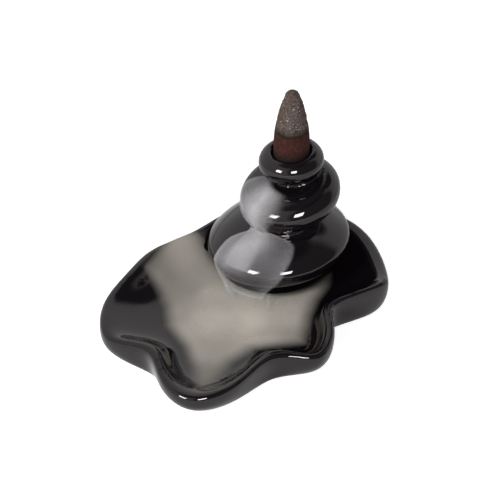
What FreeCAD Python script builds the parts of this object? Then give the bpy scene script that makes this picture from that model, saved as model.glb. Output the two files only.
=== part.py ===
"""Backflow incense burner: a ruffled dish with three stacked pebbles, and the cone that stands on them.

Millimetres. The origin is on the table under the middle of the whole outline, +Z is up, and the front
faces -Y. Bearings are in degrees from +X towards +Y.
"""
import FreeCAD, Part
import math
import os
from FreeCAD import Placement, Rotation, Vector

# The dish: its floor, its rolled lip and its foot
DISH_REACH = 64.0                # the farthest that the crest of the rim comes from the dish's centre
DISH_CENTRE = Vector(0.5, -1.3, 0)  # the point that the stations below are measured from
FLOOR_THICKNESS = 4.5            # top of the floor over the table
LIP_THICKNESS = 3.6              # the rim's wall, measured across the crest
LIP_DEPTH = 3.2                  # how far down the rolled edge keeps that thickness
LIP_CROWN = 0.2                  # share of its thickness that the lip's poles stand over the crest
FOOT_ROUND = 3.0                 # how far the skin runs on flat inwards from the foot's edge
FOOT_WIDTH = 6.0                 # flat ring that the dish stands on
FOOT_RECESS = 1.2                # the underside inside the foot is this far off the table
FLARE_LOW, FLARE_HIGH = 0.62, 0.95    # shares of the wall's flare at its two poles between foot and lip
WALL_LOW, WALL_HIGH = 0.20, 0.50      # shares of the crest's height at those two poles
BANK_TOP, BANK_MIDDLE, BANK_END = 0.22, 0.60, 1.3   # shares of the bank's width at its inner poles
BANK_HIGH, BANK_LOW = 0.74, 0.26      # shares of the wall's inner height at the first two of them

# The ruffled rim: one row for each lobe tip, each notch and each flank between them.
# bearing, reach of the crest as a share of DISH_REACH, height of the crest, foot set in from the crest,
# width of the inner bank
STATIONS = [
    (5, 0.860, 14.5, 2.5, 18),
    (22, 0.906, 13.2, 3.0, 18),
    (42, 0.969, 14.3, 3.0, 16),
    (62, 0.984, 15.0, 3.0, 14),
    (82, 1.000, 15.0, 3.0, 14),
    (104, 0.797, 13.5, 2.5, 13),
    (122, 0.695, 13.5, 2.0, 13),
    (145, 0.742, 12.2, 2.5, 16),
    (163, 0.760, 12.0, 3.0, 18),
    (180, 0.844, 10.2, 3.5, 22),
    (196, 0.906, 10.0, 3.5, 24),
    (207, 0.914, 10.0, 2.5, 24),
    (224, 0.805, 12.0, -1.2, 14),
    (238, 0.922, 10.5, 5.0, 18),
    (252, 1.000, 9.5, 4.5, 24),
    (264, 0.883, 10.5, 3.5, 18),
    (283, 0.641, 12.0, -1.0, 12),
    (305, 0.719, 10.5, 3.5, 10),
    (327, 0.602, 13.0, 2.0, 8),
    (347, 0.578, 14.5, 0.5, 8),
]

# The three pebbles: where each stands seen from above, its greatest radius, how far its crown rises over its
# widest level, how far its belly drops under it, and the radius of its rounded edge
BIG_AT, BIG_RADIUS, BIG_RISE, BIG_DROP, BIG_EDGE = (13.4, 28.0), 29.3, 15.4, 14.0, 5.5
MIDDLE_AT, MIDDLE_RADIUS, MIDDLE_RISE, MIDDLE_DROP, MIDDLE_EDGE = (17.9, 29.0), 20.6, 7.8, 7.0, 6.6
TOP_AT, TOP_RADIUS, TOP_RISE, TOP_DROP, TOP_EDGE = (18.2, 30.6), 13.2, 5.3, 7.3, 5.2
BIG_LEAN, MIDDLE_LEAN, TOP_LEAN = 7.0, 14.0, 6.0   # degrees that each leans, with its right side up
BIG_TIP, MIDDLE_TIP, TOP_TIP = 2.0, 10.0, 5.0      # degrees that each also tips towards the front
SINK = 0.8                       # how far each pebble is pressed into what is under it
CREVICE_FILLET = 0.8             # glaze that fills the crevices between the pebbles

# The cone socket in the top pebble, and the way the smoke takes from it
SOCKET_DEPTH = 4.6               # from the pebble's crown to the socket's floor
SOCKET_GAP = 0.6                 # clearance round the foot of the cone
SOCKET_LIP = 0.8                 # rounding of the socket's mouth
PASSAGE_RADIUS = 1.8
PASSAGE_DROP = 4.0               # the passage goes straight down this far, then turns outwards
PASSAGE_BEARING = 210            # it comes out between the top and the middle pebble
PASSAGE_FALL = 14                # degrees that the outward stretch falls

# The incense cone
CONE_RADIUS = 7.2
CONE_HEIGHT = 31.0
CONE_SKIRT = 6.0                 # height of the straight stretch over the base
CONE_TIP = 3.2                   # radius of the rounded tip
CONE_HOLE_RADIUS = 1.5           # the smoke hole up the middle of the cone
CONE_HOLE_DEPTH = 20.0
CONE_BASE_ROUND = 0.5

# How edges are found
FLAT = 1e-6                      # an edge lies level, or in the base, when it is no farther off than this
TOUCHING = 1e-3                  # an edge lies on a surface when it is nearer than this
PROBES = (0.13, 0.5, 0.87)       # shares of an edge's length where that is tried

Z_UP = Vector(0, 0, 1)


def on_ring(bearing, radius, height):
    """A point of the dish, from its bearing and radius round the dish's centre."""
    turn = math.radians(bearing)
    return DISH_CENTRE + Vector(radius * math.cos(turn), radius * math.sin(turn), height)


def dish_section(share, crest, inset, bank):
    """Poles of the dish's skin at one bearing, from under the foot over the rim to the floor."""
    reach = share * DISH_REACH
    foot = reach - inset
    outside, inside = reach + LIP_THICKNESS / 2, reach - LIP_THICKNESS / 2
    flare = outside - foot
    depth = crest - FLOOR_THICKNESS
    over_crest = crest + LIP_CROWN * LIP_THICKNESS
    return [
        (foot - FOOT_ROUND, 0),
        (foot, 0),
        (foot + FLARE_LOW * flare, WALL_LOW * crest),
        (foot + FLARE_HIGH * flare, WALL_HIGH * crest),
        (outside, crest - LIP_DEPTH),
        (outside, over_crest),
        (inside, over_crest),
        (inside - BANK_TOP * bank, FLOOR_THICKNESS + BANK_HIGH * depth),
        (reach - BANK_MIDDLE * bank, FLOOR_THICKNESS + BANK_LOW * depth),
        (reach - bank, FLOOR_THICKNESS),
        (reach - BANK_END * bank, FLOOR_THICKNESS),
    ]


def closed_curve(points):
    """A smooth closed curve through one point for each station."""
    bearings = [station[0] for station in STATIONS]
    curve = Part.BSplineCurve()
    curve.interpolate(Points=points, PeriodicFlag=True, Parameters=bearings + [bearings[0] + 360])
    return curve


def dish_skin():
    """The dish's outside, rim and inside as one surface: closed round the dish, steered by its sections."""
    sections = [dish_section(*station[1:]) for station in STATIONS]
    rings = []
    for level in range(len(sections[0])):
        points = [on_ring(station[0], *section[level]) for station, section in zip(STATIONS, sections)]
        rings.append(closed_curve(points))
    poles = [list(column) for column in zip(*[ring.getPoles() for ring in rings])]
    degree = 3
    spans = len(rings) - degree
    surface = Part.BSplineSurface()
    surface.buildFromPolesMultsKnots(
        poles, rings[0].getMultiplicities(), [degree + 1] + [1] * (spans - 1) + [degree + 1],
        rings[0].getKnots(), list(range(spans + 1)), True, False, degree, degree)
    return surface.toShape()


def level_edges(face):
    """The face's two flat edges, the lower one first."""
    flat = [edge for edge in face.Edges if edge.BoundBox.ZLength < FLAT]
    return sorted(flat, key=lambda edge: edge.BoundBox.ZMin)


def make_dish():
    """The dish without its pebbles, closed by a flat base and a flat floor."""
    skin = dish_skin()
    base_edge, floor_edge = level_edges(skin)
    base = Part.Face(Part.Wire(base_edge))
    floor = Part.Face(Part.Wire(floor_edge))
    sides = Part.makeCompound([skin, base, floor])
    sides.sewShape()
    dish = Part.Solid(sides.Shells[0])
    if dish.Volume < 0:
        dish.reverse()
    return dish.cut(make_foot_recess())


def make_foot_recess():
    """The shallow hollow inside the foot ring: it follows the outline of the dish."""
    inside = [share * DISH_REACH - inset - FOOT_ROUND - FOOT_WIDTH for _, share, _, inset, _ in STATIONS]
    points = [on_ring(station[0], radius, 0) for station, radius in zip(STATIONS, inside)]
    outline = Part.Wire(closed_curve(points).toShape())
    return Part.Face(outline).extrude(Z_UP * FOOT_RECESS)


def tangent_arc(start, end, centre, radius):
    """The arc of a circle in the XZ plane between two of its points, on the side away from its centre."""
    middle = (start + end) / 2 - centre
    return Part.Arc(start, centre + middle.normalize() * radius, end).toShape()


def cap_radius(radius, rise, edge):
    """Radius of the domed cap that meets a rounded edge tangentially and stands this high in the middle."""
    return ((radius - edge) ** 2 + rise ** 2 - edge ** 2) / (2 * (rise - edge))


def make_pebble(radius, rise, drop, edge):
    """A flattened pebble about the origin: a cap above, a deeper one below, a rounded edge, all tangent."""
    crown, belly = Vector(0, 0, rise), Vector(0, 0, -drop)
    upper, lower = cap_radius(radius, rise, edge), cap_radius(radius, drop, edge)
    upper_centre, lower_centre = crown - Z_UP * upper, belly + Z_UP * lower
    edge_centre = Vector(radius - edge, 0, 0)
    shoulder = edge_centre + (edge_centre - upper_centre).normalize() * edge
    hip = edge_centre + (edge_centre - lower_centre).normalize() * edge
    profile = [
        tangent_arc(crown, shoulder, upper_centre, upper),
        Part.Arc(shoulder, Vector(radius, 0, 0), hip).toShape(),
        tangent_arc(hip, belly, lower_centre, lower),
        Part.makeLine(belly, crown),
    ]
    return Part.Face(Part.Wire(profile)).revolve(Vector(), Z_UP, 360)


def stack_heights():
    """Heights of the three pebbles' widest levels, each pebble pressed into what is under it."""
    big = FLOOR_THICKNESS - SINK + BIG_DROP
    middle = big + BIG_RISE - SINK + MIDDLE_DROP
    top = middle + MIDDLE_RISE - SINK + TOP_DROP
    return big, middle, top


def placed(pebble, at, height, lean, tip):
    """A pebble tipped towards the front, turned right side up and set at its place."""
    turn = Rotation(Vector(0, -1, 0), lean) * Rotation(Vector(1, 0, 0), tip)
    pebble.Placement = Placement(Vector(at[0], at[1], height), turn)
    return pebble


def make_pebbles():
    """The big, the middle and the top pebble, in place."""
    heights = stack_heights()
    big = make_pebble(BIG_RADIUS, BIG_RISE, BIG_DROP, BIG_EDGE)
    middle = make_pebble(MIDDLE_RADIUS, MIDDLE_RISE, MIDDLE_DROP, MIDDLE_EDGE)
    top = make_pebble(TOP_RADIUS, TOP_RISE, TOP_DROP, TOP_EDGE)
    return [
        placed(big, BIG_AT, heights[0], BIG_LEAN, BIG_TIP),
        placed(middle, MIDDLE_AT, heights[1], MIDDLE_LEAN, MIDDLE_TIP),
        placed(top, TOP_AT, heights[2], TOP_LEAN, TOP_TIP),
    ]


def socket_floor():
    """The point in the middle of the socket's floor, which the cone stands on."""
    crown = stack_heights()[2] + TOP_RISE
    return Vector(TOP_AT[0], TOP_AT[1], crown - SOCKET_DEPTH)


def shared_edges(solid, first, second):
    """The solid's edges that lie on the surfaces of both of two shapes."""
    found = []
    for edge in solid.Edges:
        span = edge.LastParameter - edge.FirstParameter
        points = [edge.valueAt(edge.FirstParameter + share * span) for share in PROBES]
        skins = [first.Shells[0], second.Shells[0]]
        gaps = [skin.distToShape(Part.Vertex(point))[0] for skin in skins for point in points]
        if max(gaps) < TOUCHING:
            found.append(edge)
    return found


def join(lower, upper):
    """Two shapes fused, with the crevice between them filled by a fillet."""
    solid = lower.fuse(upper)
    return solid.makeFillet(CREVICE_FILLET, shared_edges(solid, lower, upper))


def make_socket():
    """The round hole that the cone's foot stands in, taken on past the pebble's crown."""
    return Part.makeCylinder(CONE_RADIUS + SOCKET_GAP, 2 * SOCKET_DEPTH, socket_floor())


def make_passage():
    """The smoke's way: down from the middle of the socket's floor, then out between two pebbles."""
    mouth = socket_floor()
    turn = mouth - Z_UP * PASSAGE_DROP
    bearing, fall = math.radians(PASSAGE_BEARING), math.radians(PASSAGE_FALL)
    outwards = Vector(math.cos(bearing) * math.cos(fall), math.sin(bearing) * math.cos(fall), -math.sin(fall))
    down = Part.makeCylinder(PASSAGE_RADIUS, PASSAGE_DROP, turn)
    elbow = Part.makeSphere(PASSAGE_RADIUS, turn)
    out = Part.makeCylinder(PASSAGE_RADIUS, TOP_RADIUS, turn, outwards)
    return down.fuse([elbow, out])


def make_burner_body():
    """The whole glazed piece."""
    big, middle, top = make_pebbles()
    socket = make_socket()
    crown = top.cut(socket)
    crown = crown.makeFillet(SOCKET_LIP, shared_edges(crown, top, socket))
    stack = join(join(big, middle), crown)
    body = join(make_dish(), stack)
    return body.cut(make_passage())


def make_incense_cone():
    """The cone: a straight skirt, a flank that bends in, a round tip, and the smoke hole from below."""
    drop = CONE_HEIGHT - CONE_TIP - CONE_SKIRT
    flank = (CONE_RADIUS ** 2 + drop ** 2 - CONE_TIP ** 2) / (2 * (CONE_RADIUS - CONE_TIP))
    flank_centre = Vector(CONE_RADIUS - flank, 0, CONE_SKIRT)
    tip_centre = Vector(0, 0, CONE_HEIGHT - CONE_TIP)
    join_point = tip_centre + (tip_centre - flank_centre).normalize() * CONE_TIP
    shoulder = Vector(CONE_RADIUS, 0, CONE_SKIRT)
    foot = Vector(CONE_RADIUS, 0, 0)
    tip = Vector(0, 0, CONE_HEIGHT)
    profile = [
        Part.makeLine(Vector(), foot),
        Part.makeLine(foot, shoulder),
        tangent_arc(shoulder, join_point, flank_centre, flank),
        tangent_arc(join_point, tip, tip_centre, CONE_TIP),
        Part.makeLine(tip, Vector()),
    ]
    cone = Part.Face(Part.Wire(profile)).revolve(Vector(), Z_UP, 360)
    base_edges = [edge for edge in cone.Edges if edge.BoundBox.ZMax < FLAT]
    cone = cone.makeFillet(CONE_BASE_ROUND, base_edges)
    hole = Part.makeCylinder(CONE_HOLE_RADIUS, CONE_HOLE_DEPTH - CONE_HOLE_RADIUS)
    hole_end = Part.makeSphere(CONE_HOLE_RADIUS, Vector(0, 0, CONE_HOLE_DEPTH - CONE_HOLE_RADIUS))
    cone = cone.cut(hole.fuse(hole_end))
    cone.translate(socket_floor())
    return cone


def main():
    """Build each piece, say what it measures, and write it."""
    os.makedirs("parts", exist_ok=True)
    pieces = {"burner_body": make_burner_body(), "incense_cone": make_incense_cone()}
    for name, shape in pieces.items():
        box = shape.BoundBox
        print(name, "valid", shape.isValid(), "solids", len(shape.Solids), "volume %.0f" % shape.Volume,
              "X %.1f %.1f Y %.1f %.1f Z %.1f %.1f" % (
                  box.XMin, box.XMax, box.YMin, box.YMax, box.ZMin, box.ZMax))
        shape.exportStep("parts/%s.step" % name)


main()
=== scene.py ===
# %% [markdown]
# A backflow incense burner
#
# The object is a small ornament of black-glazed ceramic. A ruffled dish, shaped like a curled leaf,
# carries three pebbles stacked at its back right. The top pebble has a round socket with an incense
# cone in it. This lesson dresses the exact solids of the part: it keeps their sizes and places, and
# adds the glaze, the ash, the studio and the smoke. All lengths are in metres, +Z is up, and the
# front of the dish faces -Y.

# %% Load the frame
import math

import bmesh
import bpy
import numpy as np
from mathutils import Matrix, Vector
from mathutils.bvhtree import BVHTree


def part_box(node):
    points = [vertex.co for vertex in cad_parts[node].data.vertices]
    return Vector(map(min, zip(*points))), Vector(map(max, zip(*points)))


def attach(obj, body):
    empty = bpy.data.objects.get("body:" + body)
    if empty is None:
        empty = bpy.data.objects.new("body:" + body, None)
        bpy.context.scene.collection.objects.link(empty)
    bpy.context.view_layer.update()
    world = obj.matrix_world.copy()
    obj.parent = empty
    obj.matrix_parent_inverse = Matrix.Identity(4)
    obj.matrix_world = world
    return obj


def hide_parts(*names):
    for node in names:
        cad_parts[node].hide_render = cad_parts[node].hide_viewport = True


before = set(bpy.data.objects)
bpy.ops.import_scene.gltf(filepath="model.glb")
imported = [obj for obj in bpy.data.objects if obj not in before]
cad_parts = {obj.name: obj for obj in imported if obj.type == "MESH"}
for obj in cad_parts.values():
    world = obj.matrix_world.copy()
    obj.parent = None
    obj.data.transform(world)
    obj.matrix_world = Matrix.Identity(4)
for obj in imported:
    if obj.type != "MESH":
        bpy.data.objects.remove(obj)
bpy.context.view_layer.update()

MM = 0.001
burner_low, burner_high = (Vector(corner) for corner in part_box("burner_body"))
cone_low, cone_high = (Vector(corner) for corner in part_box("incense_cone"))

# %% [markdown]
# The camera
#
# The photograph was taken from about 35 degrees above the table and from the front. A camera has a
# place, a direction and a lens. A long lens from over half a metre away flattens the perspective as
# the photograph does. The picture is square, so the sensor's width counts both ways.

# %% Camera
LENS, SENSOR = 110.94, 36                    # millimetres
CAMERA_PLACE = (0.0012, -0.4912, 0.3782)
LOOKS_DOWN, LOOKS_RIGHT = 35.223, 0.06       # degrees

camera_data = bpy.data.cameras.new("camera")
camera_data.lens = LENS
camera_data.sensor_width = SENSOR
camera = bpy.data.objects.new("camera", camera_data)
camera.location = CAMERA_PLACE
camera.rotation_euler = (math.radians(90 - LOOKS_DOWN), 0, math.radians(-LOOKS_RIGHT))
bpy.context.scene.collection.objects.link(camera)
bpy.context.scene.camera = camera
bpy.context.scene.view_settings.view_transform = "Standard"
print("the camera looks down by", round(90 - math.degrees(camera.rotation_euler.x), 1), "degrees")

# %% [markdown]
# Small tools for materials
#
# Materials are built from nodes. A few helpers keep the later cells short. The first adds a node and
# sets its sockets: a plain value is written on the socket, and another node's output is linked to
# it. The next three add one kind of node each: a sum, a smooth step, a mixed colour. The last two
# make an empty material and an object. All of them only save typing, and the result is the same
# node tree that one would draw by hand in the shader editor.


# %% Node helpers
def add(tree, kind, settings=None, **sockets):
    """A new node, with its settings, and with its sockets set by name or, as _0, by place."""
    node = tree.nodes.new(kind)
    for name, value in (settings or {}).items():
        setattr(node, name, value)
    for name, value in sockets.items():
        socket = node.inputs[int(name[1:])] if name[0] == "_" else node.inputs[name.replace("_", " ")]
        if isinstance(value, bpy.types.NodeSocket):
            tree.links.new(value, socket)
        else:
            socket.default_value = value
    return node


def calc(tree, operation, *values):
    """One Math node."""
    return add(tree, "ShaderNodeMath", {"operation": operation},
               **{"_%d" % place: value for place, value in enumerate(values)}).outputs[0]


def ramp(tree, value, start, end, low=0.0, high=1.0):
    """A smooth step: low up to start, high from end on."""
    return add(tree, "ShaderNodeMapRange", {"interpolation_type": "SMOOTHSTEP"},
               _0=value, _1=start, _2=end, _3=low, _4=high).outputs[0]


def blend_colour(tree, share, first, second):
    """A colour between two, by a share from 0 to 1."""
    mix = tree.nodes.new("ShaderNodeMix")
    mix.data_type = "RGBA"
    for socket, value in ((mix.inputs[0], share), (mix.inputs[6], first), (mix.inputs[7], second)):
        if isinstance(value, bpy.types.NodeSocket):
            tree.links.new(value, socket)
        else:
            socket.default_value = value if isinstance(value, float) else (*value, 1.0)
    return mix.outputs[2]


def new_material(name):
    """A material with nodes, its tree and its Principled shader."""
    material = bpy.data.materials.new(name)
    material.use_nodes = True
    return material, material.node_tree, material.node_tree.nodes["Principled BSDF"]


def new_object(name, mesh):
    """A mesh made into an object of the scene, at the origin."""
    thing = bpy.data.objects.new(name, mesh)
    bpy.context.scene.collection.objects.link(thing)
    return thing


print("helpers ready")

# %% [markdown]
# The floor
#
# The object was photographed in a white surround. The floor has to look pure white to the camera,
# yet it must not throw more light on the object than a white table would. So the material is plain
# pale grey, and it gets a little glow that only camera rays see: the Light Path node tells which
# kind of ray is asking. A very faint, soft shadow stays visible beside the dish.

# %% Floor
FLOOR_HALF = 6.0
FLOOR_GREY = 0.75
FLOOR_ROUGHNESS = 0.9
FLOOR_GLOW = 0.55

floor_mesh = bpy.data.meshes.new("floor")
corners = [(-FLOOR_HALF, -FLOOR_HALF, 0), (FLOOR_HALF, -FLOOR_HALF, 0), (FLOOR_HALF, FLOOR_HALF, 0),
           (-FLOOR_HALF, FLOOR_HALF, 0)]
floor_mesh.from_pydata(corners, [], [(0, 1, 2, 3)])
floor = new_object("floor", floor_mesh)

floor_paint, tree, shader = new_material("white table")
shader.inputs["Base Color"].default_value = (FLOOR_GREY, FLOOR_GREY, FLOOR_GREY, 1)
shader.inputs["Roughness"].default_value = FLOOR_ROUGHNESS
shader.inputs["Specular IOR Level"].default_value = 0.0
shader.inputs["Emission Color"].default_value = (1, 1, 1, 1)
seen = add(tree, "ShaderNodeLightPath").outputs["Is Camera Ray"]
tree.links.new(calc(tree, "MULTIPLY", seen, FLOOR_GLOW), shader.inputs["Emission Strength"])
floor_mesh.materials.append(floor_paint)
print("floor", 2 * FLOOR_HALF, "m wide")

# %% [markdown]
# What the glaze mirrors
#
# A black glaze has next to no colour of its own. Everything that one sees on it is the room,
# mirrored at about four per cent of its brightness, and more at a glancing angle. So the room
# around the object is the most important part of its look. It is white at the sides and behind,
# dark overhead, dark in front at the right, and dark in one high corner at the back right.
# The world is that room: a few smooth steps on the direction, with no picture in it. The camera
# itself sees plain white behind the object.

# %% World
ROOM_WHITE = 0.75
CEILING_FROM, CEILING_TO, CEILING_SHARE = 0.85, 0.93, 0.15    # cosines from straight up, share of white
DARK_FRONT_AZIMUTH, DARK_FRONT_HEIGHT, DARK_FRONT_SHARE = 40, 25, 0.2
DARK_FRONT_EDGE, DARK_FRONT_CORE = 60, 45                     # degrees round that direction
CORNER_AZIMUTH, CORNER_HEIGHT, CORNER_SHARE = 138, 53, 0.1
CORNER_EDGE, CORNER_CORE = 19, 10


def direction(azimuth, height):
    """The way to a point of the room: azimuth 0 is the front and 90 the right, in degrees."""
    turn, rise = math.radians(azimuth), math.radians(height)
    return Vector((math.sin(turn) * math.cos(rise), -math.cos(turn) * math.cos(rise), math.sin(rise)))


world = bpy.data.worlds.new("studio")
bpy.context.scene.world = world
world.use_nodes = True
tree = world.node_tree
tree.nodes.clear()
looking = add(tree, "ShaderNodeTexCoord").outputs["Generated"]


def towards(tree, way):
    """How nearly a ray points that way: the cosine of the angle between them."""
    dot = add(tree, "ShaderNodeVectorMath", {"operation": "DOT_PRODUCT"}, _0=looking, _1=way)
    return dot.outputs["Value"]


def dark_patch(tree, way, edge, core, share):
    """1 over the room, and share within core degrees of a direction, soft out to edge degrees."""
    start, end = math.cos(math.radians(edge)), math.cos(math.radians(core))
    return ramp(tree, towards(tree, way), start, end, 1.0, share)


ceiling = ramp(tree, towards(tree, Vector((0, 0, 1))), CEILING_FROM, CEILING_TO, 1.0, CEILING_SHARE)
front = dark_patch(tree, direction(DARK_FRONT_AZIMUTH, DARK_FRONT_HEIGHT),
                   DARK_FRONT_EDGE, DARK_FRONT_CORE, DARK_FRONT_SHARE)
dark_corner = dark_patch(tree, direction(CORNER_AZIMUTH, CORNER_HEIGHT),
                         CORNER_EDGE, CORNER_CORE, CORNER_SHARE)
level = calc(tree, "MULTIPLY", calc(tree, "MULTIPLY", ceiling, front),
             calc(tree, "MULTIPLY", dark_corner, ROOM_WHITE))
room = add(tree, "ShaderNodeBackground", Color=(1, 1, 1, 1), Strength=level)
white = add(tree, "ShaderNodeBackground", Color=(1, 1, 1, 1), Strength=1.0)
seen = add(tree, "ShaderNodeLightPath").outputs["Is Camera Ray"]
either = add(tree, "ShaderNodeMixShader", _0=seen, _1=room.outputs[0], _2=white.outputs[0])
tree.links.new(either.outputs[0], add(tree, "ShaderNodeOutputWorld").inputs[0])
print("room at", ROOM_WHITE, "of white, ceiling at", round(ROOM_WHITE * CEILING_SHARE, 2))

# %% [markdown]
# Two softboxes
#
# Each pebble shows a pair of small bright windows near its front edge. They are the mirror images
# of two square softboxes in front of the object, at the left and in the middle. A lamp that is far
# smaller than the room but far brighter gives such crisp windows, and hardly changes the rest.

# %% Lamps
LAMP_DISTANCE = 0.9
LAMP_SIZE = 0.26
LAMP_LEVEL = 32
LAMP_AIM = Vector((0.01, 0.02, 0.04))
LEFT_LAMP, MIDDLE_LAMP = (-50, 27), (4, 30)    # azimuth and height, degrees


def softbox(name, azimuth, height):
    """A square lamp that faces the object."""
    way = direction(azimuth, height)
    lamp = bpy.data.lights.new(name, "AREA")
    lamp.shape = "SQUARE"
    lamp.size = LAMP_SIZE
    lamp.energy = LAMP_LEVEL * math.pi * LAMP_SIZE ** 2
    thing = bpy.data.objects.new(name, lamp)
    bpy.context.scene.collection.objects.link(thing)
    thing.location = LAMP_AIM + way * LAMP_DISTANCE
    thing.rotation_euler = (-way).to_track_quat("-Z", "Y").to_euler()


softbox("left_softbox", *LEFT_LAMP)
softbox("middle_softbox", *MIDDLE_LAMP)
print("each softbox glows", LAMP_LEVEL, "times as bright as white paper")

# %% [markdown]
# The glazed body
#
# The real piece is cast in one, dipped in glaze and fired, so every crease is filled and nothing
# is faceted. The exact solid comes as loose flat triangles, which a glossy finish would show. The
# copy here is first joined at its points. A voxel remesh then gives it one even skin of small
# squares, and a few rounds of smoothing let light slide over it as over real glaze. Subdivision
# would not help, because it needs a tidy cage to start from.

# %% Burner body
SKIN_VOXEL = 0.67 * MM
SKIN_SMOOTHING = 7
RELAX_SHARE = 0.5    # how far a round of smoothing takes a point towards the middle of its neighbours
SAME_POINT = 0.001 * MM


def joined_copy(node_name, name):
    """A copy of a CAD node's mesh with its loose triangles joined."""
    bm = bmesh.new()
    bm.from_mesh(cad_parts[node_name].data)
    bmesh.ops.remove_doubles(bm, verts=bm.verts, dist=SAME_POINT)
    mesh = bpy.data.meshes.new(name)
    bm.to_mesh(mesh)
    bm.free()
    return mesh


def made_plain(thing):
    """Turns what the modifiers make into the object's own mesh."""
    graph = bpy.context.evaluated_depsgraph_get()
    mesh = bpy.data.meshes.new_from_object(thing.evaluated_get(graph))
    thing.modifiers.clear()
    thing.data = mesh


def triangles(mesh):
    """How many triangles a mesh makes."""
    return sum(len(face.vertices) - 2 for face in mesh.polygons)


burner = new_object("glazed_burner", joined_copy("burner_body", "glazed_burner"))
skin = burner.modifiers.new("even skin", "REMESH")
skin.mode = "VOXEL"
skin.voxel_size = SKIN_VOXEL
relax = burner.modifiers.new("relax", "SMOOTH")
relax.factor = RELAX_SHARE
relax.iterations = SKIN_SMOOTHING
made_plain(burner)
burner.data.shade_smooth()
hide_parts("burner_body")
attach(burner, "root")
print("burner:", triangles(burner.data), "triangles")

# %% [markdown]
# Effects that finishes share
#
# Glaze, clay and incense are never perfectly even. Two small node groups hold that unevenness: a
# gentle swell of the surface with finer orange peel on it, for glaze, and a grain of mixed light
# and dark specks, which the bare clay and the incense share. Each group has named inputs, so a
# material places it with its own values. A group gives out only values, and the shader stays in
# the material.

# %% Shared node groups
MOTTLE_FINER = 6.0                                       # times finer than the wave
SPECK_RANGE, CLUMP_RANGE = (0.35, 0.65), (0.38, 0.62)    # the noise values that make them dark and light


def new_group(name, inputs, outputs):
    """An empty shader group with its input and output nodes."""
    group = bpy.data.node_groups.new(name, "ShaderNodeTree")
    for socket, kind, value in inputs:
        made = group.interface.new_socket(socket, in_out="INPUT", socket_type=kind)
        if value is not None:
            made.default_value = value
    for socket in outputs:
        group.interface.new_socket(socket, in_out="OUTPUT", socket_type="NodeSocketFloat")
    return group, group.nodes.new("NodeGroupInput"), group.nodes.new("NodeGroupOutput")


def surface_noise(tree, place, scale, detail=2.0, rough=0.5):
    """A noise value on a place vector."""
    noise = add(tree, "ShaderNodeTexNoise", Vector=place, Scale=scale, Detail=detail, Roughness=rough)
    return noise.outputs[0]


def wandering(tree, noise, width):
    """A noise from 0 to 1 made into an offset to both sides, this wide in all."""
    return calc(tree, "MULTIPLY", calc(tree, "SUBTRACT", noise, 0.5), width)


swell, given, result = new_group(
    "fired glaze", [("Place", "NodeSocketVector", None), ("Wave", "NodeSocketFloat", 60.0),
                    ("Peel", "NodeSocketFloat", 900.0), ("Peel Share", "NodeSocketFloat", 0.1)],
    ["Height", "Mottle"])
wave = surface_noise(swell, given.outputs["Place"], given.outputs["Wave"], detail=1.0)
peel = surface_noise(swell, given.outputs["Place"], given.outputs["Peel"], detail=2.0)
height = calc(swell, "ADD", wave, calc(swell, "MULTIPLY", peel, given.outputs["Peel Share"]))
swell.links.new(height, result.inputs["Height"])
finer = calc(swell, "MULTIPLY", given.outputs["Wave"], MOTTLE_FINER)
mottle = surface_noise(swell, given.outputs["Place"], finer, detail=4.0)
swell.links.new(mottle, result.inputs["Mottle"])

grain, given, result = new_group(
    "powder grain", [("Place", "NodeSocketVector", None), ("Coarse", "NodeSocketFloat", 900.0),
                     ("Fine", "NodeSocketFloat", 2600.0)],
    ["Specks", "Clumps", "Height"])
specks = surface_noise(grain, given.outputs["Place"], given.outputs["Fine"], detail=3.0, rough=0.7)
clumps = surface_noise(grain, given.outputs["Place"], given.outputs["Coarse"], detail=3.0, rough=0.6)
grain.links.new(ramp(grain, specks, *SPECK_RANGE), result.inputs["Specks"])
grain.links.new(ramp(grain, clumps, *CLUMP_RANGE), result.inputs["Clumps"])
grain.links.new(calc(grain, "ADD", specks, clumps), result.inputs["Height"])
print("groups:", [group.name for group in bpy.data.node_groups])

# %% [markdown]
# Black glaze over dark clay
#
# The glaze is glassy: very dark, nearly smooth, with the plain reflection of glass. A slight swell
# bends the mirrored room a little, as on every dipped pot. The ring that the dish stands on and the
# hollow inside it are wiped clean before firing, or the pot would stick to the kiln shelf. There the
# bare brown clay shows, dull and grainy. The height over the table decides between the two, read
# from the object's own coordinates, with a slightly wandering line.

# %% Glaze material
GLAZE = (0.003, 0.0022, 0.003)
GLAZE_ROUGHNESS, ROUGHER_MOTTLE, ROUGHER_CLAY = 0.05, 0.02, 0.8
GLAZE_SHEEN = (1.0, 0.93, 0.95)
GLAZE_WAVE, GLAZE_PEEL, PEEL_SHARE = 55.0, 800.0, 0.06
BARE_CLAY = (0.16, 0.085, 0.05)
DARK_CLAY = (0.07, 0.04, 0.026)
CLAY_COARSE, CLAY_FINE, CLAY_RELIEF = 700.0, 2400.0, 0.3
BARE_BELOW = 1.3 * MM
BARE_EDGE = 0.35 * MM
BARE_WANDER = 4 * BARE_EDGE
RELIEF_DEPTH = 0.25 * MM

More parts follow.
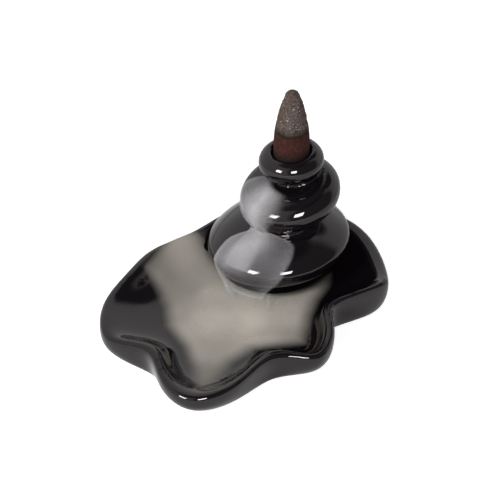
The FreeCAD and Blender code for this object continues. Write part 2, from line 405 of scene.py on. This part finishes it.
glaze, tree, shader = new_material("black glaze")
place = add(tree, "ShaderNodeTexCoord").outputs["Object"]
fired = add(tree, "ShaderNodeGroup", {"node_tree": swell}, Place=place, Wave=GLAZE_WAVE, Peel=GLAZE_PEEL,
            Peel_Share=PEEL_SHARE)
clay = add(tree, "ShaderNodeGroup", {"node_tree": grain}, Place=place, Coarse=CLAY_COARSE, Fine=CLAY_FINE)
up = add(tree, "ShaderNodeSeparateXYZ", Vector=place).outputs["Z"]
wander = wandering(tree, fired.outputs["Mottle"], BARE_WANDER)
bare = ramp(tree, calc(tree, "ADD", up, wander), BARE_BELOW - BARE_EDGE, BARE_BELOW + BARE_EDGE, 1.0, 0.0)
clay_colour = blend_colour(tree, clay.outputs["Clumps"], DARK_CLAY, BARE_CLAY)
tree.links.new(blend_colour(tree, bare, GLAZE, clay_colour), shader.inputs["Base Color"])
gloss = calc(tree, "ADD", GLAZE_ROUGHNESS, calc(tree, "MULTIPLY", fired.outputs["Mottle"], ROUGHER_MOTTLE))
rough = calc(tree, "ADD", gloss, calc(tree, "MULTIPLY", bare, ROUGHER_CLAY))
tree.links.new(rough, shader.inputs["Roughness"])
relief = calc(tree, "ADD", calc(tree, "MULTIPLY", fired.outputs["Height"], calc(tree, "SUBTRACT", 1.0, bare)),
              calc(tree, "MULTIPLY", calc(tree, "MULTIPLY", clay.outputs["Height"], bare), CLAY_RELIEF))
bump = add(tree, "ShaderNodeBump", Height=relief, Strength=1.0, Distance=RELIEF_DEPTH)
tree.links.new(bump.outputs["Normal"], shader.inputs["Normal"])
shader.inputs["Specular Tint"].default_value = (*GLAZE_SHEEN, 1)
burner.data.materials.clear()
burner.data.materials.append(glaze)
print("glaze roughness about", GLAZE_ROUGHNESS)

# %% [markdown]
# The incense cone
#
# A backflow cone is pressed incense powder with a blind hole up its middle. Here the upper half has
# burned: it is loose grey ash, pitted and crumbly, and below a scorched line the powder is still
# smooth and red-brown. The solid has too few points for such pits, so the cone is made anew at the
# size of its solid. First comes its outline: up the hole, out over the base, up the short straight
# skirt, and along the curved flank to the round tip.

# %% Cone outline
CONE_SKIRT = 6.0 * MM
CONE_TIP = 3.2 * MM
HOLE_RADIUS, HOLE_DEPTH = 1.5 * MM, 20.0 * MM
BASE_ROUND = 0.5 * MM
DOME_RINGS, HOLE_RINGS, BASE_RINGS, ROUND_RINGS = 7, 12, 5, 6
SKIRT_RINGS, FLANK_RINGS, TIP_RINGS = 20, 170, 30

cone_middle = (cone_low + cone_high) / 2
cone_radius = (cone_high.x - cone_low.x) / 2
cone_height = cone_high.z - cone_low.z


def cone_outline():
    """(radius, height) pairs up the hole, round the base and up the flank to the tip."""
    drop = cone_height - CONE_TIP - CONE_SKIRT
    flank = (cone_radius ** 2 + drop ** 2 - CONE_TIP ** 2) / (2 * (cone_radius - CONE_TIP))
    tip_height = cone_height - CONE_TIP
    meet = math.atan2(tip_height - CONE_SKIRT, flank - cone_radius)
    points = [(HOLE_RADIUS * math.sin(turn), HOLE_DEPTH - HOLE_RADIUS + HOLE_RADIUS * math.cos(turn))
              for turn in np.linspace(0, math.pi / 2, DOME_RINGS)]
    points += [(HOLE_RADIUS, height) for height in np.linspace(HOLE_DEPTH - HOLE_RADIUS, 0, HOLE_RINGS)[1:]]
    points += [(radius, 0.0) for radius in np.linspace(HOLE_RADIUS, cone_radius - BASE_ROUND, BASE_RINGS)[1:]]
    points += [(cone_radius - BASE_ROUND * (1 - math.sin(turn)), BASE_ROUND * (1 - math.cos(turn)))
               for turn in np.linspace(0, math.pi / 2, ROUND_RINGS)[1:]]
    points += [(cone_radius, height) for height in np.linspace(BASE_ROUND, CONE_SKIRT, SKIRT_RINGS)[1:]]
    points += [(cone_radius - flank * (1 - math.cos(turn)), CONE_SKIRT + flank * math.sin(turn))
               for turn in np.linspace(0, meet, FLANK_RINGS)[1:]]
    points += [(CONE_TIP * math.cos(turn), tip_height + CONE_TIP * math.sin(turn))
               for turn in np.linspace(meet, math.pi / 2, TIP_RINGS)[1:]]
    points[0], points[-1] = (0.0, points[0][1]), (0.0, cone_height)
    return points


print("cone outline of", len(cone_outline()), "points,", round(cone_height / MM, 1), "mm high")

# %% [markdown]
# Turning the cone
#
# The outline is turned round the upright axis, as on a lathe. Blender's Screw modifier could do it
# too, but a loop that lays ring on ring shows how little there is to it, and it closes both ends
# with one point each. The many fine rings leave room for real pits.

# %% Incense cone
RING_POINTS = 160


def turned(points, count):
    """A closed mesh from an outline turned round the Z axis. Its two ends lie on the axis."""
    bm = bmesh.new()
    rings = []
    for radius, height in points:
        steps = range(count if radius > 0 else 1)
        rings.append([bm.verts.new((radius * math.cos(math.tau * step / count),
                                    radius * math.sin(math.tau * step / count), height)) for step in steps])
    for lower, upper in zip(rings, rings[1:]):
        for step in range(count):
            after = (step + 1) % count
            corners = [lower[step % len(lower)], lower[after % len(lower)],
                       upper[after % len(upper)], upper[step % len(upper)]]
            bm.faces.new(list(dict.fromkeys(corners)))
    bmesh.ops.recalc_face_normals(bm, faces=bm.faces)
    return bm


bm = turned(cone_outline(), RING_POINTS)
bm.transform(Matrix.Translation((cone_middle.x, cone_middle.y, cone_low.z)))
cone_mesh = bpy.data.meshes.new("pressed_cone")
bm.to_mesh(cone_mesh)
bm.free()
cone = new_object("pressed_cone", cone_mesh)
print("smooth cone:", triangles(cone.data), "triangles")

# %% [markdown]
# Ash pits
#
# The fire leaves a crumbly skin. A rule describes it: there are pits only above the fire line, they
# are shallower at the very tip, and two noises of different size say where they are. Geometry Nodes
# suit a rule like that. The tree has named inputs, so the crumbs can be made deeper or coarser
# without touching the rest. The pits only go inwards, so the cone keeps the size of its solid.

# %% Ash pits
ASH_FROM = 0.465                                 # share of the cone's height where the ash begins
ASH_PIT = 0.45 * MM
LUMP_SCALE, CRUMB_SCALE, CRUMB_SHARE = 420.0, 1300.0, 0.6
PIT_RANGE = (0.6, 1.0)                           # sums of the two noises where a pit begins and is full
LINE_SCALE, LINE_WANDER = 300.0, 1.8 * MM        # how the fire line wanders
BURNT_WITHIN = 0.8 * MM                          # from no pits to full ones, over the fire line
TIP_REACH, TIP_SHARE = 3 * MM, 0.35              # the pits shrink to that share over the last stretch

ash_height = cone_low.z + ASH_FROM * cone_height
PIT_INPUTS = {"Fire Line": ash_height, "Tip": cone_high.z, "Pit Depth": ASH_PIT, "Lumps": LUMP_SCALE,
              "Crumbs": CRUMB_SCALE}


def ash_pits():
    """The Geometry Nodes tree that presses pits into a mesh above its fire line."""
    tree = bpy.data.node_groups.new("ash pits", "GeometryNodeTree")
    tree.interface.new_socket("Geometry", in_out="INPUT", socket_type="NodeSocketGeometry")
    for name in PIT_INPUTS:
        tree.interface.new_socket(name, in_out="INPUT", socket_type="NodeSocketFloat")
    tree.interface.new_socket("Material", in_out="INPUT", socket_type="NodeSocketMaterial")
    tree.interface.new_socket("Geometry", in_out="OUTPUT", socket_type="NodeSocketGeometry")
    given = add(tree, "NodeGroupInput").outputs
    place = add(tree, "GeometryNodeInputPosition").outputs[0]
    up = add(tree, "ShaderNodeSeparateXYZ", Vector=place).outputs["Z"]
    wander = wandering(tree, surface_noise(tree, place, LINE_SCALE), LINE_WANDER)
    over = calc(tree, "SUBTRACT", calc(tree, "ADD", up, wander), given["Fire Line"])
    burnt = ramp(tree, over, 0.0, BURNT_WITHIN)
    tip = ramp(tree, calc(tree, "SUBTRACT", given["Tip"], up), 0.0, TIP_REACH, TIP_SHARE, 1.0)
    lumps = surface_noise(tree, place, given["Lumps"], detail=3.0)
    crumbs = surface_noise(tree, place, given["Crumbs"], detail=2.0)
    share = ramp(tree, calc(tree, "ADD", lumps, calc(tree, "MULTIPLY", crumbs, CRUMB_SHARE)), *PIT_RANGE)
    depth = calc(tree, "MULTIPLY", calc(tree, "MULTIPLY", share, given["Pit Depth"]),
                 calc(tree, "MULTIPLY", burnt, tip))
    outwards = add(tree, "GeometryNodeInputNormal").outputs[0]
    inwards = add(tree, "ShaderNodeVectorMath", {"operation": "SCALE"}, _0=outwards,
                  Scale=calc(tree, "MULTIPLY", depth, -1.0))
    pressed = add(tree, "GeometryNodeSetPosition", Geometry=given["Geometry"], Offset=inwards.outputs[0])
    solid = add(tree, "GeometryNodeRealizeInstances", Geometry=pressed.outputs[0])
    painted = add(tree, "GeometryNodeSetMaterial", Geometry=solid.outputs[0], Material=given["Material"])
    tree.links.new(painted.outputs[0], add(tree, "NodeGroupOutput").inputs[0])
    return tree


incense, incense_tree, incense_shader = new_material("burning incense")
pits = cone.modifiers.new("ash pits", "NODES")
pits.node_group = ash_pits()
for socket in pits.node_group.interface.items_tree:
    if socket.name in PIT_INPUTS:
        pits[socket.identifier] = PIT_INPUTS[socket.name]
    if socket.name == "Material":
        pits[socket.identifier] = incense
made_plain(cone)
cone.data.shade_smooth()
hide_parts("incense_cone")
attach(cone, "root")
print("cone:", triangles(cone.data), "triangles")

# %% [markdown]
# Ash, scorch and powder
#
# Three zones follow each other down the cone. The ash is grey with brown and pale specks. The
# scorched line is nearly black. The powder below is a deep red-brown, painted darker towards the
# socket, where the socket shades it. Height decides the zone, and a noise makes the borders wander.

# %% Incense material
ASH_PALE, ASH_DARK, ASH_BROWN = (0.092, 0.072, 0.063), (0.010, 0.008, 0.007), (0.045, 0.025, 0.020)
ASH_FLECK = (0.28, 0.24, 0.215)
SCORCH = (0.010, 0.006, 0.004)
POWDER, POWDER_DARK = (0.038, 0.0105, 0.007), (0.020, 0.006, 0.0045)
# The colour of the painted shade that the socket casts on the powder.
SOCKET_SHADE = (0.008, 0.004, 0.004)
POWDER_COARSE, POWDER_FINE = 750.0, 2300.0
BORDER_SCALE, BORDER_WANDER = 260.0, 3 * MM
PATCH_SCALE, PATCH_RANGE, PATCH_SHARE = 330.0, (0.45, 0.62), 0.55
CLUMP_SHARE = 0.35
FLECK_SCALE, FLECK_RANGE, FLECK_SHARE = 1500.0, (0.66, 0.72), 0.7
SOOT_REACH, SOOT_SHARE = 3 * MM, 0.6                          # soot in the ash, from the fire line up
SOCKET_SHADE_FULL, SOCKET_SHADE_END, SOCKET_SHADE_SHARE = 3 * MM, 8 * MM, 0.9   # heights over the cone's base, and the share, of the painted shade of the socket
SCORCH_START, SCORCH_FULL = 1.8 * MM, 0.4 * MM                # depths under the fire line
ASH_START, ASH_FULL = 0.3 * MM, 0.5 * MM                      # from this far under it to this far over it
INCENSE_ROUGHNESS, INCENSE_SPECULAR = 0.9, 0.15
GRAIN_STRENGTH, GRAIN_DEPTH = 0.7, 0.3 * MM

tree, shader = incense_tree, incense_shader
place = add(tree, "ShaderNodeTexCoord").outputs["Object"]
powder = add(tree, "ShaderNodeGroup", {"node_tree": grain}, Place=place, Coarse=POWDER_COARSE,
             Fine=POWDER_FINE)
up = add(tree, "ShaderNodeSeparateXYZ", Vector=place).outputs["Z"]
wander = wandering(tree, surface_noise(tree, place, BORDER_SCALE), BORDER_WANDER)
level = calc(tree, "ADD", up, wander)

ash = blend_colour(tree, powder.outputs["Specks"], ASH_DARK, ASH_PALE)
patches = ramp(tree, surface_noise(tree, place, PATCH_SCALE), *PATCH_RANGE)
ash = blend_colour(tree, calc(tree, "MULTIPLY", patches, PATCH_SHARE), ash, ASH_BROWN)
ash = blend_colour(tree, calc(tree, "MULTIPLY", powder.outputs["Clumps"], CLUMP_SHARE), ash, ASH_PALE)
flecks = ramp(tree, surface_noise(tree, place, FLECK_SCALE, detail=1.0), *FLECK_RANGE, 0.0, FLECK_SHARE)
ash = blend_colour(tree, flecks, ash, ASH_FLECK)
soot = ramp(tree, level, ash_height, ash_height + SOOT_REACH, SOOT_SHARE, 0.0)
ash = blend_colour(tree, soot, ash, SCORCH)

fresh = blend_colour(tree, powder.outputs["Clumps"], POWDER_DARK, POWDER)
# Painted shade: the powder darkens towards the socket, where the socket shades it.
socket_shade = ramp(tree, level, cone_low.z + SOCKET_SHADE_FULL, cone_low.z + SOCKET_SHADE_END, SOCKET_SHADE_SHARE, 0.0)
fresh = blend_colour(tree, socket_shade, fresh, SOCKET_SHADE)
scorched = ramp(tree, level, ash_height - SCORCH_START, ash_height - SCORCH_FULL)
below = blend_colour(tree, scorched, fresh, SCORCH)
burnt = ramp(tree, level, ash_height - ASH_START, ash_height + ASH_FULL)
tree.links.new(blend_colour(tree, burnt, below, ash), shader.inputs["Base Color"])
shader.inputs["Roughness"].default_value = INCENSE_ROUGHNESS
shader.inputs["Specular IOR Level"].default_value = INCENSE_SPECULAR
bump = add(tree, "ShaderNodeBump", Height=powder.outputs["Height"], Strength=GRAIN_STRENGTH,
           Distance=GRAIN_DEPTH)
tree.links.new(bump.outputs["Normal"], shader.inputs["Normal"])
print("the ash begins", round(ash_height / MM, 1), "mm over the table")

# %% [markdown]
# Smoke as a thin film
#
# Backflow smoke is heavier than air. It leaves the passage under the top pebble, clings to the
# stones as a thin smooth veil, and falls off them like water. A volume would be the first thought,
# but such thin veils render cleaner as sheets. Rays go out from the middle of a pebble and find the
# glaze, and the sheet floats just over it. Every point of a sheet carries an attribute that says how
# much smoke there is. Solidify turns each sheet into a closed film, because an exported mesh should
# have no open edges.

# %% Film of smoke
VEIL_LIFT = 0.8 * MM
FILM = 0.2 * MM

skin_tree = BVHTree.FromPolygons([vert.co[:] for vert in burner.data.vertices],
                                 [tuple(face.vertices) for face in burner.data.polygons])


def on_glaze(middle, azimuth, height):
    """The point of the glaze that lies this way from a pebble's middle, lifted a little."""
    way = direction(azimuth, height)
    found = skin_tree.ray_cast(middle, way)[0]
    return found + way * VEIL_LIFT


def smooth_share(value, start, end):
    """0 up to start, 1 from end on, soft between."""
    share = min(1.0, max(0.0, (value - start) / (end - start)))
    return share * share * (3 - 2 * share)


def curve_through(value, keys, values):
    """The value of a smooth curve through some points. The keys rise."""
    slopes = np.gradient(values, keys)
    place = int(np.clip(np.searchsorted(keys, value) - 1, 0, len(keys) - 2))
    span = keys[place + 1] - keys[place]
    along = min(1.0, max(0.0, (value - keys[place]) / span))
    back = 1 - along
    rise = (1 + 2 * along) * back ** 2 * values[place] + along * back ** 2 * span * slopes[place]
    return float(rise + along ** 2 * (3 - 2 * along) * values[place + 1]
                 - along ** 2 * back * span * slopes[place + 1])


def smoke_mesh(name, places, faces, amounts):
    """Makes the object, and stores how much smoke is at each point."""
    mesh = bpy.data.meshes.new(name)
    mesh.from_pydata(places, [], faces)
    mesh.attributes.new("smoke_amount", "FLOAT", "POINT").data.foreach_set("value", amounts)
    mesh.shade_smooth()
    return new_object(name, mesh)


def sheet_of_smoke(name, places, faces, amounts, settling=0):
    """A thin closed film of smoke, first settled a little where it is laid over a grid."""
    film = smoke_mesh(name, places, faces, amounts)
    if settling:
        settle = film.modifiers.new("settle", "SMOOTH")
        settle.factor = RELAX_SHARE
        settle.iterations = settling
    shell = film.modifiers.new("film", "SOLIDIFY")
    shell.thickness = FILM
    shell.offset = -1
    made_plain(film)
    return film


print("glaze ready for the rays:", len(burner.data.polygons), "faces")

# %% [markdown]
# Smoke that clings to the stones
#
# Two veils fall over the pebbles, and they are drawn rather than simulated, so that they hang where
# the real ones do. A veil is a short table of rows from its top to its brink. Each row says how high
# and which way one looks from the middle of the pebble, how wide the veil is there, and how much
# smoke there is at seven places across it. A smooth curve runs through the rows. Under the brink the
# veil lets go of the stone and falls straight down.

# %% Veils of smoke
MIDDLE_PEBBLE = Vector((17.9, 29.0, 39.3)) * MM    # the middle of its widest level
BIG_PEBBLE = Vector((13.4, 28.0, 17.7)) * MM
VEIL_ROWS, VEIL_STEPS = 90, 90
FALL_PER_DEGREE = 0.5 * MM                         # how far the veil drops under its brink
ACROSS = (-1.0, -0.8, -0.5, -0.2, 0.1, 0.5, 1.0)   # shares of its half width, from left to right
NOTHING = (0.0,) * len(ACROSS)


def veil(name, middle, rows, brink, left, right):
    """A sheet over a pebble, soft over these shares of its half width at its left and right edge.

    A row holds the height and the azimuth of a direction, the half width, all in degrees, and the
    amounts of smoke ACROSS.
    """
    keys = [-row[0] for row in rows]
    columns = np.array([(row[1], row[2], *row[3]) for row in rows], dtype=float).T
    places, amounts = [], []
    for height in np.linspace(rows[0][0], rows[-1][0], VEIL_ROWS):
        turn, half, *smoke = (curve_through(-height, keys, column) for column in columns)
        for across in np.linspace(-1, 1, VEIL_STEPS):
            point = on_glaze(middle, turn + across * half, max(height, brink))
            point.z -= max(0.0, brink - height) * FALL_PER_DEGREE
            places.append(point)
            edge = smooth_share(1 + across, 0, left) * smooth_share(1 - across, 0, right)
            amounts.append(max(0.0, curve_through(across, ACROSS, smoke)) * edge)
    faces = [(row * VEIL_STEPS + step, row * VEIL_STEPS + step + 1,
              (row + 1) * VEIL_STEPS + step + 1, (row + 1) * VEIL_STEPS + step)
             for row in range(VEIL_ROWS - 1) for step in range(VEIL_STEPS - 1)]
    return sheet_of_smoke(name, places, faces, amounts)


upper_veil = veil("smoke_on_middle_pebble", MIDDLE_PEBBLE, [
    (42, -74, 30, NOTHING),
    (34, -66, 40, (0.25, 0.25, 0.22, 0.3, 0.2, 0.05, 0.0)),
    (27, -56, 50, (0.3, 0.25, 0.35, 0.65, 0.7, 0.35, 0.1)),
    (16, -56, 50, (0.45, 0.35, 0.45, 0.8, 0.98, 0.6, 0.2)),
    (4, -53, 44, (0.6, 0.38, 0.48, 0.8, 0.98, 0.5, 0.25)),
    (-8, -48, 30, (0.65, 0.5, 0.55, 0.78, 0.85, 0.42, 0.3)),
    (-20, -44, 18, (0.7, 0.55, 0.6, 0.8, 0.85, 0.5, 0.4)),
    (-33, -42, 12, (0.6, 0.55, 0.65, 0.8, 0.8, 0.6, 0.5))], brink=-33, left=0.05, right=0.5)
lower_veil = veil("smoke_on_big_pebble", BIG_PEBBLE, [
    (47, -38, 9, (0.5, 0.5, 0.6, 0.7, 0.7, 0.6, 0.4)),
    (42, -31, 13, (0.5, 0.45, 0.55, 0.7, 0.65, 0.5, 0.4)),
    (35, -22, 26, (0.45, 0.35, 0.55, 0.7, 0.6, 0.35, 0.25)),
    (28, -20, 36, (0.55, 0.4, 0.72, 0.82, 0.55, 0.25, 0.3)),
    (19, -24, 39, (0.65, 0.45, 0.8, 0.8, 0.42, 0.25, 0.35)),
    (8, -29, 36, (0.75, 0.5, 0.72, 0.58, 0.28, 0.2, 0.4)),
    (0, -31, 33, (0.8, 0.48, 0.45, 0.3, 0.16, 0.13, 0.35)),
    (-5, -32, 30, (0.85, 0.45, 0.25, 0.15, 0.1, 0.1, 0.3)),
    (-10, -32, 25, (0.85, 0.4, 0.15, 0.1, 0.08, 0.1, 0.35)),
    (-15, -30, 20, (0.85, 0.4, 0.16, 0.12, 0.1, 0.12, 0.4)),
    (-18.5, -29, 17, (0.7, 0.6, 0.5, 0.5, 0.5, 0.5, 0.4)),
    (-20, -29, 16, NOTHING)], brink=-2, left=0.05, right=0.12)
print("two veils of smoke,", round(VEIL_LIFT / MM, 1), "mm over the glaze")

# %% [markdown]
# How much smoke lies where
#
# At the bottom the smoke fills the dish like milk. Seen from above, it has an outline and a few
# thicker puffs, so it is drawn as just that, in millimetres. The amount is none outside the outline,
# rises over a soft shore inside it, and is a smooth blend between the puffs beyond that. A tongue
# runs out into the front lobe, and a thin haze climbs the wall at the back left.

# %% Amounts of the pool
SHORE = 8.0                        # millimetres, like the outline, the puffs and their reach
PUFF_REACH, PUFF_FALL = 4.0, -1.5
SHADE_GAP_FROM, SHADE_GAP_TO = 19 * MM, 25 * MM    # no smoke right under the big pebble: the gap paints the shade under its belly
POOL_OUTLINE = np.array([
    (-34.5, -3), (-38, 6), (-44, 16), (-34, 37), (-24, 42), (-9, 42), (-3, 26), (2, 20), (24, 17), (31, 21),
    (37, 24), (36, 12), (31, 2), (28, -8), (25, -27), (4, -31), (-3, -38), (-8, -50), (-13, -61), (-21, -61),
    (-23, -40), (-26, -28), (-33, -15)], dtype=float)
PUFFS = np.array([                 # x, y and the amount of smoke there
    (-14, -9, 0.93), (2, -12, 0.93), (-27, -6, 0.55), (-31, 3, 0.36), (-22, 10, 0.4), (-32, 19, 0.42),
    (-23, 30, 0.58), (-15, -30, 0.58), (-13, 38, 0.1), (-14, -44, 0.36), (-16, -57, 0.22), (8, -23, 0.7),
    (18, -21, 0.5), (19, -8, 0.72), (26, 5, 0.65), (33, 16, 0.4), (0, 4, 0.88), (-13, 6, 0.78)])


def shore_share(at):
    """0 outside the pool's outline and on it, 1 from SHORE inwards. Lengths in millimetres."""
    ends = np.roll(POOL_OUTLINE, -1, axis=0)
    runs = ends - POOL_OUTLINE
    along = np.clip(((at - POOL_OUTLINE) * runs).sum(1) / (runs ** 2).sum(1), 0, 1)
    nearest = np.hypot(*(POOL_OUTLINE + runs * along[:, None] - at).T).min()
    crossed = (POOL_OUTLINE[:, 1] > at[1]) != (ends[:, 1] > at[1])
    rises = np.where(crossed, runs[:, 1], 1.0)
    cross_x = POOL_OUTLINE[:, 0] + (at[1] - POOL_OUTLINE[:, 1]) * runs[:, 0] / rises
    inside = np.count_nonzero(crossed & (cross_x > at[0])) % 2
    return smooth_share(nearest if inside else 0.0, 0, SHORE)


def pool_amount(x, y):
    """How much smoke lies over a place of the dish."""
    at = np.array((x, y)) / MM
    shore = shore_share(at)
    weight = ((PUFFS[:, 0] - at[0]) ** 2 + (PUFFS[:, 1] - at[1]) ** 2 + PUFF_REACH ** 2) ** PUFF_FALL
    away = math.hypot(x - BIG_PEBBLE.x, y - BIG_PEBBLE.y)
    # The gap in the smoke under the big pebble is painted shade: the black glaze shows where the belly shades
    # the dish.
    return shore * (weight * PUFFS[:, 2]).sum() / weight.sum() * smooth_share(away, SHADE_GAP_FROM, SHADE_GAP_TO)


print("amount in the middle of the dish:", round(float(pool_amount(0.0, 0.0)), 2))

# %% [markdown]
# The pool
#
# Now a grid of points is let down on the dish, also under the belly of the big pebble, and each
# point is lifted the more, the thicker the smoke is there. Little squares join the points. Squares
# without smoke are left out, and so are those that would climb a steep step. The sheet then settles
# under a few rounds of smoothing, which irons out the grid.

# %% Pool of smoke
GRID = 0.8 * MM
POOL_LIFT, POOL_GAP, FULL_LIFT = 1.3 * MM, 0.25 * MM, 0.9    # the last is the amount that is lifted fully
UNDER_STONE, BELLY_ROOF = 30.3 * MM, 8 * MM    # this near the big pebble's axis, rays start under its belly
STEEP = 2.5 * MM
THINNEST = 0.004
POOL_SETTLING = 12


def dish_height(x, y):
    """Height of the dish's inside at a place, also under the pebbles."""
    roof = burner_high.z + MM
    if math.hypot(x - BIG_PEBBLE.x, y - BIG_PEBBLE.y) < UNDER_STONE:
        roof = BELLY_ROOF
    found = skin_tree.ray_cast(Vector((x, y, roof)), Vector((0, 0, -1)))[0]
    return None if found is None else found.z


places, amounts, number = [], [], {}
for line, y in enumerate(np.arange(burner_low.y, burner_high.y, GRID)):
    for column, x in enumerate(np.arange(burner_low.x, burner_high.x, GRID)):
        height = dish_height(x, y)
        amount = pool_amount(x, y)
        if height is not None:
            number[line, column] = len(places)
            places.append((x, y, height + POOL_LIFT * smooth_share(amount, 0.0, FULL_LIFT) + POOL_GAP))
            amounts.append(amount)


def square(line, column):
    """The four points of a little square, or None where there is no smoke or a steep step."""
    corners = [number.get(key) for key in ((line, column), (line, column + 1), (line + 1, column + 1),
                                           (line + 1, column))]
    if None in corners or max(amounts[corner] for corner in corners) < THINNEST:
        return None
    levels = [places[corner][2] for corner in corners]
    return corners if max(levels) - min(levels) < STEEP else None


squares = {key: corners for key in number if (corners := square(*key))}
for line, column in number:
    diagonal, other = ((line - 1, column - 1), (line, column)), ((line - 1, column), (line, column - 1))
    for pair, rest in ((diagonal, other), (other, diagonal)):
        if all(key in squares for key in pair) and not any(key in squares for key in rest):
            del squares[pair[0]]    # two squares that meet only at a corner would pinch the film there
used = sorted({corner for corners in squares.values() for corner in corners})
renumbered = {corner: place for place, corner in enumerate(used)}
faces = [[renumbered[corner] for corner in corners] for corners in squares.values()]
places, amounts = [places[corner] for corner in used], [amounts[corner] for corner in used]
pool = sheet_of_smoke("smoke_pool", places, faces, amounts, POOL_SETTLING)
print("pool of", len(faces), "little squares")

# %% [markdown]
# Wisps
#
# Three thin streams join the lower veil to the pool. A stream is a tapering thread: rings of points
# round a curve that is steered by four points, as a Bezier curve is. The ring shrinks to a point at
# both ends, and Weld joins the points there, so that the thread is closed.

# %% Wisps
WISP_SIDES, WISP_STEPS = 10, 40
WISP_TAPER, WISP_LEAN = 0.15, 0.3
WISP_FADE = (-0.1, 0.4)            # shares of its length over which a stream thickens
STREAMS = [                        # name, four points and two radii in millimetres, amount of smoke
    ("smoke_left_stream", [(-9, 7.5, 13), (-8, 5, 10), (-6.5, 3.5, 8), (-3.2, 1.6, 5.6)], (0.8, 1.5), 0.5),
    ("smoke_middle_stream", [(3, 2, 8.5), (1, 0.5, 7.5), (4.5, -2, 6.5), (3, -5, 5.6)], (0.4, 0.8), 0.18),
    ("smoke_right_stream", [(10, 1, 9.5), (8, 0, 8), (8.5, -3, 7), (9.5, -8, 5.4)], (0.9, 0.5), 0.32)]


def wisp(name, points, radii, amount):
    """A tapering thread of smoke along a curve from the first point to the last."""
    sides, steps = WISP_SIDES, WISP_STEPS
    start, pull, push, end = (Vector(point) * MM for point in points)
    places, amounts = [], []
    for step in range(steps + 1):
        along = step / steps
        back = 1 - along
        middle = (start * back ** 3 + pull * 3 * back ** 2 * along + push * 3 * back * along ** 2
                  + end * along ** 3)
        taper = smooth_share(along, 0, WISP_TAPER) * smooth_share(back, 0, WISP_TAPER)
        radius = (radii[0] * back + radii[1] * along) * taper * MM
        for side in range(sides):
            turn = math.tau * side / sides
            around = Vector((math.cos(turn), math.sin(turn), WISP_LEAN * math.sin(turn)))
            places.append(middle + around * radius)
            amounts.append(amount * (1 - along ** 3) * smooth_share(along, *WISP_FADE))
    faces = [((step + 1) * sides + side, (step + 1) * sides + (side + 1) % sides,
              step * sides + (side + 1) % sides, step * sides + side)
             for step in range(steps) for side in range(sides)]
    thread = smoke_mesh(name, places, faces, amounts)
    weld = thread.modifiers.new("closed ends", "WELD")
    weld.merge_threshold = SAME_POINT
    made_plain(thread)
    return thread


wisps = [wisp(*stream) for stream in STREAMS]
print("wisps:", len(wisps))

# %% [markdown]
# Streaks that the smokes share
#
# The falling and the pooled smoke have the same streaks, so these are one node group, placed in both
# materials. A stretched noise gives the streaks of a slow fall, and they thin the smoke here and
# there. Every look through a film or a thread meets two walls of it, so each wall takes the square
# root of the light that the smoke lets past.

# %% Streaks of smoke
STREAK_STRETCH = (1.0, 1.0, 0.35)
STREAK_RANGE = (0.3, 0.7)
STREAK_DETAIL, STREAK_ROUGH = 3.0, 0.55

streaks, given, result = new_group(
    "smoke streaks", [("Place", "NodeSocketVector", None), ("Amount", "NodeSocketFloat", 0.5),
                      ("Streak Scale", "NodeSocketFloat", 60.0), ("Thinned To", "NodeSocketFloat", 0.8)],
    ["Wall Alpha"])
stretched = add(streaks, "ShaderNodeMapping", Vector=given.outputs["Place"], Scale=STREAK_STRETCH).outputs[0]
streak = surface_noise(streaks, stretched, given.outputs["Streak Scale"], STREAK_DETAIL, STREAK_ROUGH)
streak = ramp(streaks, streak, *STREAK_RANGE, given.outputs["Thinned To"], 1.0)
kept_back = calc(streaks, "MULTIPLY", given.outputs["Amount"], streak)
let_past = add(streaks, "ShaderNodeClamp", Value=calc(streaks, "SUBTRACT", 1.0, kept_back)).outputs[0]
wall_alpha = calc(streaks, "SUBTRACT", 1.0, calc(streaks, "SQRT", let_past))
streaks.links.new(wall_alpha, result.inputs["Wall Alpha"])
print("smoke streaks:", len(streaks.nodes), "nodes")

# %% [markdown]
# The look of smoke
#
# Smoke is pale specks that scatter light: a plain colour without gloss, let through by its amount.
# The falling smoke is a cool grey. The pool is lit from above and warmer. Last, every piece of smoke
# is told that it rides on the burner, so that it moves with it.

# %% Smoke material
# The pool's colour is warmer than the falling smoke's, and lighter: the lighter tone is painted light from
# above.
VEIL_COLOUR, POOL_LIT_COLOUR = (0.325, 0.317, 0.325), (0.475, 0.44, 0.39)
VEIL_STREAKS, POOL_STREAKS = (70.0, 0.22), (45.0, 0.15)    # scale, and the share that they thin away


def smoke_paint(name, colour, streak_scale, streak_share):
    """Smoke as a dull pale film whose alpha comes from its amount."""
    material, tree, shader = new_material(name)
    place = add(tree, "ShaderNodeTexCoord").outputs["Object"]
    amount = add(tree, "ShaderNodeAttribute", {"attribute_name": "smoke_amount"}).outputs["Fac"]
    streaked = add(tree, "ShaderNodeGroup", {"node_tree": streaks}, Place=place, Amount=amount,
                   Streak_Scale=streak_scale, Thinned_To=1 - streak_share)
    shader.inputs["Base Color"].default_value = (*colour, 1)
    shader.inputs["Roughness"].default_value = 1.0
    shader.inputs["Specular IOR Level"].default_value = 0.0
    tree.links.new(streaked.outputs["Wall Alpha"], shader.inputs["Alpha"])
    return material


veil_paint = smoke_paint("falling smoke", VEIL_COLOUR, *VEIL_STREAKS)
pool_paint = smoke_paint("pooled smoke", POOL_LIT_COLOUR, *POOL_STREAKS)
for thing, paint in ((upper_veil, veil_paint), (lower_veil, veil_paint), (pool, pool_paint),
                     *((thread, veil_paint) for thread in wisps)):
    thing.data.materials.append(paint)
    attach(thing, "root")
print("smoke paints:", veil_paint.name, "and", pool_paint.name)
